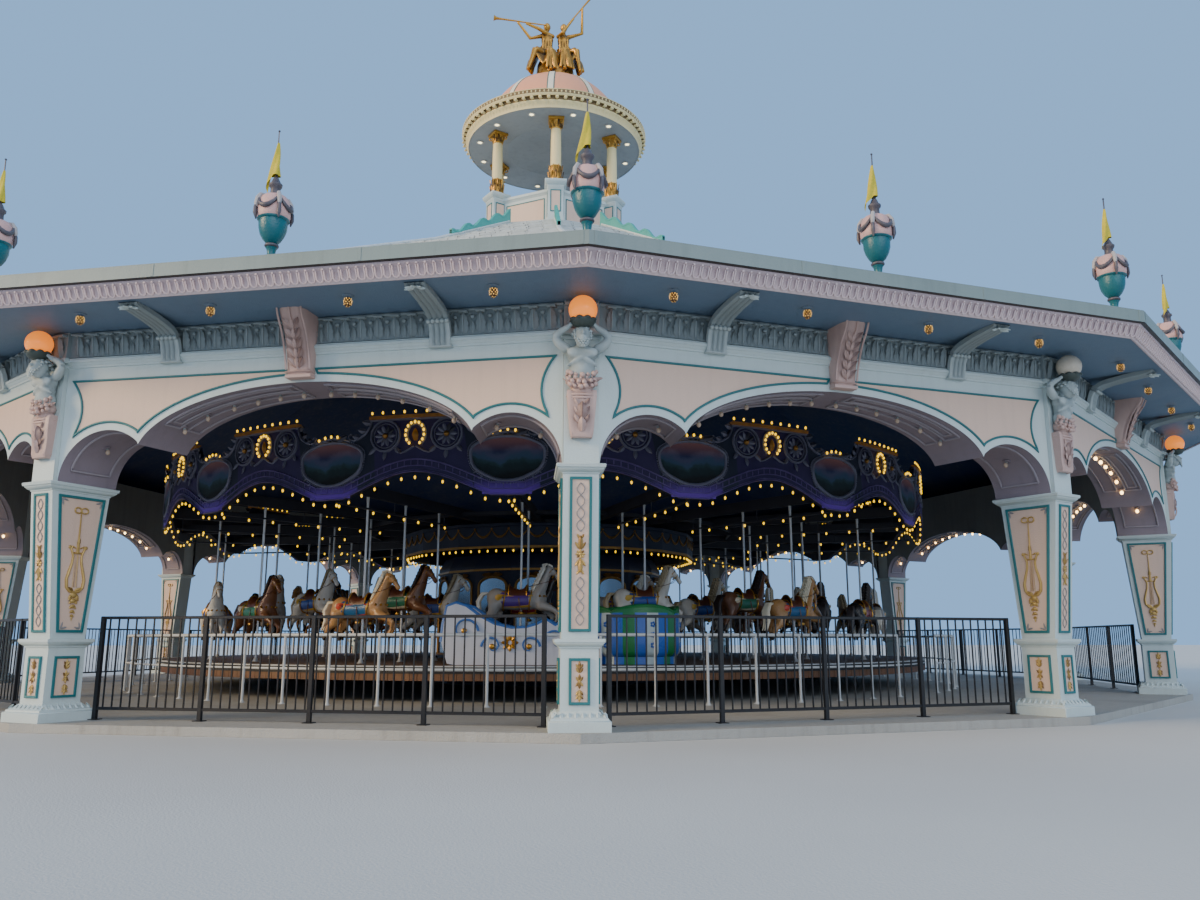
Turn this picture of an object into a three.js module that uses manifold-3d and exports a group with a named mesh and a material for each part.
// Fairground carousel: a twelve-sided open pavilion with a domed lantern on its
// roof, and the turning ride that hangs from a fixed mast in the middle of it.
// Millimetres, Z up. The origin is the middle of the floor slab's underside, and
// -Y points at the corner column that faces the visitor.
import * as THREE from 'three'
import { mergeVertices } from 'three/addons/utils/BufferGeometryUtils.js'
import Module from 'manifold-3d'

const wasm = await Module()
wasm.setup()

// Driving dimensions
const SIDES = 12
const FLOOR_T = 100             // floor slab; every height below counts from its top
const FLOOR_R = 12860           // radii of the polygons are those of their corners
const WALL_R = 12800            // outer face of the arcade at the corners
const WALL_IN_R = 12000
const COLUMN_HALF = 196
const SHAFT_R = 12620           // the shaft leans out from here to WALL_R
const SHAFT_FOOT_IN_R = 12155
const PEDESTAL_Z = 950
const CAPITAL_Z = 2800
const SOFFIT_Z = 4650
const EAVE_R = 14050
const EAVE_Z = 4955
const ROOF_FOOT_R = 13500       // the urns stand on the ledge outside it
const ROOF_KNEE = [5000, 8950]
const ROOF_TOP_R = 2150
const ROOF_TOP_Z = 10500
const ROOF_T = 150
const CREST_R = [2150, 4500]    // the wave cresting on each hip, from the lantern down
const CREST_T = 60
const URN_R = 13720
const GAP = 0.3

// Arcade opening, measured from the middle of a bay
const LOBE = { x: 2490, z: 2800, r: 610 }
const MAIN_ARCH = { a: 2100, b: 800, z: 3080 }
const CUSP_X = 2055

// Picket fence between the columns, and the queue railing around the ride
const FENCE_R = 12150
const FENCE_TOP = 1220
const FENCE_FOOT = 110
const BAR = 40
const RAILING_R = 8900
const RAILING_Z = 1010
const PIPE = 50
const GATEWAY = 1600
const ENTRANCE_BAY = 1

// Lantern, its round canopy and the dome
const LANTERN_R = 1640
const PIER_Z = 11640
const CEILING_Z = 13300
const CANOPY_Z = 13750
const DOME_R = 1830
const DOME_T = 80
const DOME_CENTRE_Z = 13450
const DOME_TOP_Z = 15050
const ROCK_Z = 15950

// Ride
const UNITS = 18                // rounding boards and sweeps around the ride
const UNIT_PHASE = 4            // degrees from -Y to the first tall board
const DECK_IN_R = 2900
const DECK_R = 8350
const DECK_Z = 555
const SWEEP_Z = 3300
const SWEEP_T = 200
const SWEEP_W = 90
const HUB_R = 620
const POLE_R = 28
const ROWS = [7400, 6250, 5100]
const HORSE_Z = [1250, 1420, 1330]
const HORSE_W = 260
const SEAT_R = 7250             // middle of the chariot and the tub
const CHARIOT_W = 900
const CHARIOT_WALL = 60
const TUB_R = 740
const TUB_WALL = 90
const BOARD_R = 8430            // the rounding boards hang outside the deck's edge
const INNER_BOARD_R = 3300
const BOARD_T = 80
const HOUSING_R = 2600
const HOUSING_Z = 2750
const COLLAR_Z = 3550

const rad = THREE.MathUtils.degToRad
const SIDE_ANGLE = 360 / SIDES
const APOTHEM = Math.cos(rad(SIDE_ANGLE / 2))
const MITRE = Math.tan(rad(SIDE_ANGLE / 2))

const finish = (color, roughness, metalness = 0) =>
  new THREE.MeshStandardMaterial({ color, roughness, metalness })
const paint = {
  mint: finish(0xc9d8d6, 0.6), pink: finish(0xd3ada0, 0.6), green: finish(0x1f7a4a, 0.5),
  fascia: finish(0x7f8f8f, 0.5), roof: finish(0xcfd4cf, 0.8), navy: finish(0x141c38, 0.6),
  gold: finish(0xc98a2c, 0.35, 0.8), black: finish(0x15171a, 0.5), cream: finish(0xe6dcc2, 0.5),
  steel: finish(0xb9bcbd, 0.35, 0.7), wood: finish(0x6b4a2e, 0.6), concrete: finish(0x9a978f, 0.9),
  violet: finish(0x4b3a6e, 0.5), white: finish(0xe4e4df, 0.5),
}

const carousel = new THREE.Group()
const pavilion = new THREE.Group()
const ride = new THREE.Group()
pavilion.position.z = FLOOR_T
ride.position.z = FLOOR_T
ride.rotation.z = rad(UNIT_PHASE)
carousel.add(pavilion, ride)

function add(parent, name, geometry, material, degrees = 0) {
  const mesh = new THREE.Mesh(geometry, material)
  mesh.name = name
  mesh.rotation.z = rad(degrees)
  parent.add(mesh)
  return mesh
}

const count = (n, make) => Array.from({ length: n }, (_, i) => make(i))
const label = (i) => String(i + 1).padStart(2, '0')

// Solids are joined and cut here, and come back as plain geometry.
function solid(geometry) {
  const bare = new THREE.BufferGeometry()
  bare.setAttribute('position', geometry.getAttribute('position').clone())
  if (geometry.index) bare.setIndex(geometry.index.clone())
  const merged = mergeVertices(bare, 1e-3)
  const mesh = new wasm.Mesh({
    numProp: 3,
    vertProperties: new Float32Array(merged.getAttribute('position').array),
    triVerts: new Uint32Array(merged.index.array),
  })
  return new wasm.Manifold(mesh)
}

function plain(manifold) {
  const mesh = manifold.getMesh()
  const geometry = new THREE.BufferGeometry()
  geometry.setAttribute('position', new THREE.Float32BufferAttribute(mesh.vertProperties, 3))
  geometry.setIndex([...mesh.triVerts])
  geometry.computeVertexNormals()
  return geometry
}

const join = (pieces) => plain(pieces.map(solid).reduce((whole, piece) => whole.add(piece)))

// A stack of rectangles: each level is [z, half width, inner radius, outer radius],
// seen from the middle of the building, with its outside towards -Y.
function post(levels) {
  const points = levels.flatMap(([z, half, inner, outer]) => [
    -half, -outer, z, half, -outer, z, half, -inner, z, -half, -inner, z])
  const top = (levels.length - 1) * 4
  const faces = [0, 2, 1, 0, 3, 2, top, top + 1, top + 2, top, top + 2, top + 3]
  for (let level = 0; level < top; level += 4) {
    for (let side = 0; side < 4; side++) {
      const a = level + side
      const b = level + (side + 1) % 4
      faces.push(a, b, b + 4, a, b + 4, a + 4)
    }
  }
  const geometry = new THREE.BufferGeometry()
  geometry.setAttribute('position', new THREE.Float32BufferAttribute(points, 3))
  geometry.setIndex(faces)
  return geometry
}

const block = (half, inner, outer, low, high) =>
  post([[low, half, inner, outer], [high, half, inner, outer]])

// A turned solid with its axis along Z; polygons get a corner at -Y.
function turned(profile, segments) {
  const points = profile.map(([r, z]) => new THREE.Vector2(r, z))
  const geometry = new THREE.LatheGeometry(points, segments)
  geometry.rotateX(Math.PI / 2)
  return geometry
}

// A closed ring profile repeats its first point at the end.
const ring = (profile, segments) => turned([...profile, profile[0]], segments)

function outline(points) {
  return new THREE.Shape(points.map(([x, y]) => new THREE.Vector2(x, y)))
}

// A side view, drawn as [distance outwards, height], given a width across it.
function profileBlock(points, width) {
  const geometry = new THREE.ExtrudeGeometry(outline(points), { depth: width, bevelEnabled: false })
  geometry.translate(0, 0, -width / 2)
  geometry.rotateX(Math.PI / 2)
  geometry.rotateZ(-Math.PI / 2)
  return geometry
}

// A round bar from one point to another, which may taper.
function limb(from, to, radius, endRadius = radius, sides = 6) {
  const start = new THREE.Vector3(...from)
  const run = new THREE.Vector3(...to).sub(start)
  const geometry = new THREE.CylinderGeometry(endRadius, radius, run.length(), sides)
  geometry.translate(0, run.length() / 2, 0)
  const turn = new THREE.Quaternion()
  turn.setFromUnitVectors(new THREE.Vector3(0, 1, 0), run.normalize())
  geometry.applyQuaternion(turn)
  return geometry.translate(...from)
}

function ball(centre, radius, wide = 8, high = 5) {
  return new THREE.SphereGeometry(radius, wide, high).rotateX(Math.PI / 2).translate(...centre)
}

// Floor
const slab = ring([[0, 0], [FLOOR_R, 0], [FLOOR_R, FLOOR_T], [0, FLOOR_T]], SIDES)
add(carousel, 'floor_slab', slab, paint.concrete)

// Columns: plinth, pedestal, leaning shaft, capital, the pier up to the soffit, and
// the bearded figure on its console that holds a lamp globe under the eave
function columnLevels() {
  const lean = (z) => (z - PEDESTAL_Z) / (CAPITAL_Z - PEDESTAL_Z)
  const outer = (z) => SHAFT_R + (WALL_R - SHAFT_R) * lean(z)
  const inner = (z) => SHAFT_FOOT_IN_R + (WALL_IN_R - SHAFT_FOOT_IN_R) * lean(z)
  const step = (z, grow) => [z, COLUMN_HALF + grow, inner(z) - grow, outer(z) + grow]
  const foot = (z, grow) => [z, COLUMN_HALF + grow, SHAFT_FOOT_IN_R - grow, SHAFT_R + grow]
  const neck = CAPITAL_Z - 100
  return [
    foot(0, 135), foot(115, 135), foot(130, 110), foot(205, 10), foot(850, 10),
    foot(905, 70), foot(PEDESTAL_Z, 76), foot(PEDESTAL_Z, 0), step(neck, 0),
    step(CAPITAL_Z - 40, 62), step(CAPITAL_Z, 74), step(CAPITAL_Z, 0),
    [SOFFIT_Z, COLUMN_HALF, WALL_IN_R, WALL_R],
  ]
}

function figure() {
  const torso = post([
    [3100, 95, WALL_R - 20, WALL_R + 110], [3640, 125, WALL_R - 20, WALL_R + 150],
    [3760, 150, WALL_R - 20, WALL_R + 190], [4060, 165, WALL_R - 20, WALL_R + 260],
    [4240, 150, WALL_R - 20, WALL_R + 260]])
  const head = post([
    [4220, 70, WALL_R + 130, WALL_R + 290], [4320, 80, WALL_R + 130, WALL_R + 300]])
  const globe = ball([0, -WALL_R - 230, 4465], 165, 6, 4)
  return [torso, head, globe]
}

const columnShape = join([post(columnLevels()), ...figure()])
count(SIDES, (i) => add(pavilion, `column_${label(i)}`, columnShape, paint.mint, i * SIDE_ANGLE))

// Arcade: one arched wall between two piers, with its cornice moulding, two fluted
// scroll brackets and the leaf corbel over the crown
function archOutline(halfWidth) {
  const lobe = new THREE.EllipseCurve(LOBE.x, LOBE.z, LOBE.r, LOBE.r, rad(8), rad(130)).getPoints(5)
  const cuspAngle = Math.acos(CUSP_X / MAIN_ARCH.a)
  const crown = new THREE.EllipseCurve(
    0, MAIN_ARCH.z, MAIN_ARCH.a, MAIN_ARCH.b, cuspAngle, Math.PI - cuspAngle).getPoints(10)
  const half = [[halfWidth, SOFFIT_Z], [halfWidth, LOBE.z + 20], ...lobe.map((p) => [p.x, p.y])]
  const mirrored = half.map(([x, z]) => [-x, z]).reverse()
  return [...half, ...crown.map((p) => [p.x, p.y]), ...mirrored]
}

function archWall() {
  const outer = WALL_R * APOTHEM
  const depth = (WALL_R - WALL_IN_R) * APOTHEM
  const half = WALL_R * Math.sin(rad(SIDE_ANGLE / 2)) - COLUMN_HALF / APOTHEM - GAP
  const wall = new THREE.ExtrudeGeometry(outline(archOutline(half)), { depth, bevelEnabled: false })
  wall.rotateX(Math.PI / 2)
  wall.translate(0, depth - outer, 0)
  const position = wall.getAttribute('position')
  for (let i = 0; i < position.count; i++) {
    const inwards = position.getY(i) + outer
    position.setX(i, position.getX(i) * (1 - inwards * MITRE / half))
  }
  const moulding = block(half - 8, outer - 20, outer + 60, 4200, 4320)
  const bracketSide = [
    [outer - 20, 4165], [outer + 90, 4165], [outer + 120, 4400], [outer + 300, 4540],
    [outer + 950, 4580], [outer + 980, SOFFIT_Z - GAP], [outer - 20, SOFFIT_Z - GAP]]
  const corbelSide = [
    [outer - 20, 3905], [outer + 130, 3920], [outer + 160, 4120], [outer + 300, 4400],
    [outer + 420, SOFFIT_Z - GAP], [outer - 20, SOFFIT_Z - GAP]]
  const brackets = [-1, 1].map((side) =>
    profileBlock(bracketSide, 240).translate(side * half * 0.53, 0, 0))
  return join([wall, moulding, profileBlock(corbelSide, 320), ...brackets])
}

const archShape = archWall()
count(SIDES, (i) => add(pavilion, `arch_${label(i)}`, archShape, paint.mint, (i + 0.5) * SIDE_ANGLE))

// Fence: a picket panel in every bay but the entrance, just behind the columns
function fencePanel() {
  const half = FENCE_R * Math.sin(rad(SIDE_ANGLE / 2)) - COLUMN_HALF - 154
  const line = FENCE_R * APOTHEM
  const bar = (halfLength, low, high) => block(halfLength, line - BAR / 2, line + BAR / 2, low, high)
  const rails = [bar(half, FENCE_FOOT, FENCE_FOOT + BAR), bar(half, FENCE_TOP - BAR, FENCE_TOP)]
  const bars = 5
  const posts = count(bars, (i) => {
    const low = i % 2 ? FENCE_FOOT : 0
    const place = (half - BAR / 2) * (i * 2 / (bars - 1) - 1)
    return bar(BAR / 2, low, FENCE_TOP).translate(place, 0, 0)
  })
  return join([...rails, ...posts])
}

const fenceShape = fencePanel()
for (let i = 0; i < SIDES; i++) {
  if (i === ENTRANCE_BAY) continue
  add(pavilion, `fence_${label(i)}`, fenceShape, paint.black, (i + 0.5) * SIDE_ANGLE)
}

// Eave: soffit, crown moulding and metal fascia in one ring, with an urn and its
// furled pennant over every corner and every bay
const eaveRing = ring([
  [WALL_IN_R, SOFFIT_Z], [EAVE_R - 210, SOFFIT_Z], [EAVE_R - 180, SOFFIT_Z - 20],
  [EAVE_R - 60, 4780], [EAVE_R, 4800], [EAVE_R, EAVE_Z], [WALL_IN_R, EAVE_Z]], SIDES)
const urnProfile = [
  [0, EAVE_Z - 20], [100, EAVE_Z - 20], [80, 5270], [205, 5600], [150, 5850], [50, 5960],
  [0, 6580]]
const urns = count(SIDES * 2, (i) => {
  const distance = i % 2 ? URN_R * APOTHEM : URN_R
  return turned(urnProfile, 6).translate(0, -distance, 0).rotateZ(rad(i * SIDE_ANGLE / 2))
})
add(pavilion, 'eave', join([eaveRing, ...urns]), paint.fascia)

// Roof: a boarded shell whose flat top carries the lantern, with a wave cresting
// on the upper part of each hip
const roofShape = ring([
  [0, ROOF_TOP_Z], [0, ROOF_TOP_Z - ROOF_T], [ROOF_TOP_R, ROOF_TOP_Z - ROOF_T],
  [ROOF_KNEE[0], ROOF_KNEE[1] - ROOF_T], [ROOF_FOOT_R - 400, EAVE_Z], [ROOF_FOOT_R, EAVE_Z],
  ROOF_KNEE, [ROOF_TOP_R, ROOF_TOP_Z]], SIDES)
const hipZ = (r) => {
  const fall = (ROOF_TOP_Z - ROOF_KNEE[1]) / (ROOF_KNEE[0] - ROOF_TOP_R)
  return ROOF_TOP_Z - (r - ROOF_TOP_R) * fall
}
const WAVES = 4
const crestTop = count(WAVES * 4 + 1, (i) => {
  const r = CREST_R[0] + (CREST_R[1] - CREST_R[0]) * i / (WAVES * 4)
  const height = 250 - 150 * i / (WAVES * 4) + 55 * Math.cos(i * Math.PI / 2)
  return [r, hipZ(r) + height]
})
const crestSide = [
  [CREST_R[0], hipZ(CREST_R[0]) - 40], ...crestTop, [CREST_R[1], hipZ(CREST_R[1]) - 40]]
const crests = count(SIDES, (i) => profileBlock(crestSide, CREST_T).rotateZ(rad(i * SIDE_ANGLE)))
add(pavilion, 'roof', join([roofShape, ...crests]), paint.roof)

// Lantern: a low six-sided wall with a pier and a column at each corner
const lanternWall = ring([
  [1380, ROOF_TOP_Z], [LANTERN_R, ROOF_TOP_Z], [LANTERN_R, 11400], [1690, 11450], [1690, 11520],
  [1380, 11520]], 6)
const pier = post([
  [ROOF_TOP_Z, 190, 1450, 1830], [11480, 190, 1450, 1830], [11540, 250, 1390, 1890],
  [PIER_Z, 260, 1380, 1900]])
const lanternColumn = turned([
  [0, PIER_Z - 20], [160, PIER_Z - 20], [125, 13030], [200, CEILING_Z], [0, CEILING_Z]], 6)
const lanternCorner = solid(join([pier, lanternColumn.translate(0, -LANTERN_R, 0)]))
const corners = count(6, (i) => lanternCorner.rotate(0, 0, i * 60))
const lanternShape = plain(corners.reduce((all, one) => all.add(one), solid(lanternWall)))
add(pavilion, 'lantern', lanternShape, paint.mint)

const canopyDisc = turned([
  [0, CEILING_Z], [2200, CEILING_Z], [2280, 13450], [2370, 13560], [2370, 13700],
  [2250, CANOPY_Z], [0, CANOPY_Z]], 24)
add(pavilion, 'lantern_canopy', canopyDisc, paint.cream)

// Dome: a shell on the canopy, cut flat at the top where the group stands
function domeArc(radius, top) {
  const start = Math.asin((CANOPY_Z + GAP - DOME_CENTRE_Z) / radius)
  const end = Math.asin((top - DOME_CENTRE_Z) / radius)
  const curve = new THREE.EllipseCurve(0, DOME_CENTRE_Z, radius, radius, start, end)
  return curve.getPoints(5).map((p) => [p.x, p.y])
}
const domeShape = ring([
  ...domeArc(DOME_R, DOME_TOP_Z), [0, DOME_TOP_Z], [0, DOME_TOP_Z - DOME_T],
  ...domeArc(DOME_R - DOME_T, DOME_TOP_Z - DOME_T).reverse()], 24)
add(pavilion, 'dome', domeShape, paint.pink)

// Two seated trumpeters on a rock
function trumpeter(side, knee, foot, mouth, bell) {
  const hip = [side * 200, -80, 15960]
  const neck = [side * 220, -120, 16640]
  const hand = mouth.map((value, i) => value + (bell[i] - value) * 0.45)
  const shoulder = [neck[0] + side * 110, neck[1], neck[2] - 60]
  const elbow = [hand[0] + side * 60, hand[1] - 40, hand[2] - 240]
  return [
    limb(hip, neck, 210, 130, 5), ball([neck[0], neck[1] - 20, 16830], 130, 5, 4),
    limb(hip, knee, 150, 100, 4), limb(knee, foot, 100, 70, 4),
    limb(shoulder, elbow, 60, 50, 4), limb(elbow, hand, 50, 35, 4), limb(mouth, bell, 22, 80, 5),
  ]
}
const rock = turned([
  [0, DOME_TOP_Z], [560, DOME_TOP_Z], [520, 15500], [380, ROCK_Z], [0, ROCK_Z]], 8)
const leftFigure = trumpeter(
  -1, [-440, -420, 16000], [-600, -420, 15400], [-260, -230, 16780], [-1620, -380, 16850])
const rightFigure = trumpeter(
  1, [400, -400, 16000], [480, -430, 15400], [260, -230, 16740], [980, -320, 17690])
add(pavilion, 'trumpeters', join([rock, ...leftFigure, ...rightFigure]), paint.gold)

// Queue railing around the ride, open towards the entrance
const pipeIn = RAILING_R - PIPE / 2
const pipeOut = RAILING_R + PIPE / 2
const pipeLow = RAILING_Z - PIPE / 2
const pipeHigh = RAILING_Z + PIPE / 2
const railingPosts = count(SIDES, (i) =>
  block(PIPE / 2, pipeIn, pipeOut, 0, RAILING_Z).rotateZ(rad(i * SIDE_ANGLE)))
const railingRing = ring([
  [pipeIn, pipeLow], [pipeOut, pipeLow], [pipeOut, pipeHigh], [pipeIn, pipeHigh]], SIDES * 3)
const gateway = block(GATEWAY / 2, RAILING_R - 500, RAILING_R + 500, -10, RAILING_Z + 100)
  .rotateZ(rad((ENTRANCE_BAY + 0.5) * SIDE_ANGLE))
const railing = solid(join([railingRing, ...railingPosts])).subtract(solid(gateway))
add(pavilion, 'queue_railing', plain(railing), paint.steel)

// Centre of the ride: the fixed machine housing and the mast with its thrust collar
const housing = turned([
  [0, 0], [HOUSING_R, 0], [HOUSING_R, HOUSING_Z - 250], [HOUSING_R - 150, HOUSING_Z],
  [0, HOUSING_Z]], UNITS)
add(pavilion, 'centre_housing', housing, paint.navy)
const mast = turned([
  [0, HOUSING_Z], [380, HOUSING_Z], [380, 2790], [200, 2830], [200, 3450], [340, 3480],
  [340, COLLAR_Z], [0, COLLAR_Z]], 12)
add(pavilion, 'mast', mast, paint.steel)

// Hub: a cap that turns on the collar
const hub = turned([
  [0, COLLAR_Z + GAP], [420, COLLAR_Z + GAP], [420, 3250], [HUB_R, 3250], [HUB_R, 3700],
  [350, 3950], [0, 3950]], UNITS)
add(ride, 'hub', hub, paint.steel)

// Deck with its skirt, hung from the sweeps by the poles
const deck = ring([
  [DECK_IN_R, 470], [DECK_R - 100, 470], [DECK_R - 100, 333], [DECK_R - 20, 333],
  [DECK_R - 20, 440], [DECK_R, 440], [DECK_R, DECK_Z], [DECK_IN_R, DECK_Z]], UNITS * 2)
add(ride, 'deck', deck, paint.wood)

// Sweeps: three beams with a tie between them, and the horses on their poles
const UNIT_ANGLE = 360 / UNITS
const horseSide = outline([
  [-600, 350], [150, 380], [470, 840], [700, 640], [500, 520], [440, 100], [640, -180],
  [180, -40], [-300, -20], [-720, -400]])
function horse(row) {
  const body = new THREE.ExtrudeGeometry(horseSide, { depth: HORSE_W, bevelEnabled: false })
  body.rotateX(Math.PI / 2).translate(0, HORSE_W / 2 - ROWS[row], HORSE_Z[row])
  const pole = limb([0, -ROWS[row], DECK_Z], [0, -ROWS[row], SWEEP_Z + 10], POLE_R, POLE_R, 4)
  return [body, pole]
}

function sweepGroup(freeOfOuterHorses) {
  const reach = (HUB_R * Math.cos(rad(UNIT_ANGLE / 2))) + GAP
  const sweeps = [-1, 0, 1].flatMap((place) => {
    const rows = freeOfOuterHorses.includes(place) ? [1, 2] : [0, 1, 2]
    const beam = block(SWEEP_W / 2, reach, DECK_R - 1.5, SWEEP_Z, SWEEP_Z + SWEEP_T)
    return [beam, ...rows.flatMap(horse)].map((piece) => piece.rotateZ(rad(place * UNIT_ANGLE)))
  })
  const tieHalf = 4300 * Math.sin(rad(UNIT_ANGLE / 2))
  const ties = [-0.5, 0.5].map((place) =>
    block(tieHalf, 4200, 4270, SWEEP_Z + 40, SWEEP_Z + 120).rotateZ(rad(place * UNIT_ANGLE)))
  return join([...sweeps, ...ties])
}

// The first group leaves room for the chariot and the tub.
const fullGroup = sweepGroup([])
for (let i = 0; i < UNITS / 3; i++) {
  const shape = i === 0 ? sweepGroup([-1, 0]) : fullGroup
  add(ride, `sweeps_${i + 1}`, shape, paint.cream, (i * 3 + 0.5) * UNIT_ANGLE)
}

// Chariot: two scroll-cut sides round a bench and a foot well
const chariotSide = outline([
  [-1000, 0], [950, 0], [1050, 250], [950, 700], [700, 560], [250, 520], [-250, 640],
  [-700, 950], [-1000, 900], [-1080, 350]])
const chariotHollow = outline([
  [-860, 420], [-300, 420], [-300, 60], [880, 60], [880, 1100], [-860, 1100]])
function acrossSeat(side, width) {
  const geometry = new THREE.ExtrudeGeometry(side, { depth: width, bevelEnabled: false })
  return geometry.rotateX(Math.PI / 2).translate(0, width / 2 - SEAT_R, DECK_Z)
}
const chariot = solid(acrossSeat(chariotSide, CHARIOT_W))
  .subtract(solid(acrossSeat(chariotHollow, CHARIOT_W - 2 * CHARIOT_WALL)))
add(ride, 'chariot', plain(chariot), paint.white, -0.5 * UNIT_ANGLE)

// Tub: a round spinning tub, open at the top, with a raised floor
const tubIn = TUB_R - TUB_WALL
const tub = ring([
  [0, DECK_Z], [tubIn, DECK_Z], [TUB_R, 700], [TUB_R, 1400], [TUB_R - 50, 1480],
  [tubIn, 1400], [tubIn, 900], [0, 900]], 12).translate(0, -SEAT_R, 0)
add(ride, 'tub', tub, paint.green, 5.5)

// Rounding boards: tall boards and lower oval ones by turns, over a scalloped edge.
// Each sample is [degrees from a tall board's middle, bottom, top].
const boardUnit = [
  [-8.3, 3110, 4020], [-6.6, 3210, 4110], [-5, 3315, 4370], [-2.5, 3445, 4370], [0, 3500, 4370],
  [2.5, 3445, 4370], [5, 3315, 4370], [6.6, 3210, 4110], [8.3, 3110, 4020], [10, 3110, 4140]]
function roundingBoards() {
  const points = []
  const faces = []
  const total = UNITS * boardUnit.length
  for (let unit = 0; unit < UNITS; unit++) {
    for (const [degrees, low, high] of boardUnit) {
      const angle = rad(unit * UNIT_ANGLE + degrees)
      const corners = [[BOARD_R, low], [DECK_R, low], [DECK_R, high], [BOARD_R, high]]
      for (const [r, z] of corners) points.push(r * Math.sin(angle), -r * Math.cos(angle), z)
    }
  }
  for (let i = 0; i < total; i++) {
    const next = (i + 1) % total
    for (let side = 0; side < 4; side++) {
      const a = i * 4 + side
      const b = i * 4 + (side + 1) % 4
      const c = next * 4 + (side + 1) % 4
      const d = next * 4 + side
      faces.push(a, b, c, a, c, d)
    }
  }
  const geometry = new THREE.BufferGeometry()
  geometry.setAttribute('position', new THREE.Float32BufferAttribute(points, 3))
  geometry.setIndex(faces)
  return geometry
}
add(ride, 'rounding_boards', roundingBoards(), paint.violet)

const innerBoardOut = INNER_BOARD_R + BOARD_T
const innerBoards = ring([
  [INNER_BOARD_R, 2780], [innerBoardOut, 2780], [innerBoardOut, SWEEP_Z],
  [INNER_BOARD_R, SWEEP_Z]], UNITS)
add(ride, 'inner_boards', innerBoards, paint.violet)

export default carousel
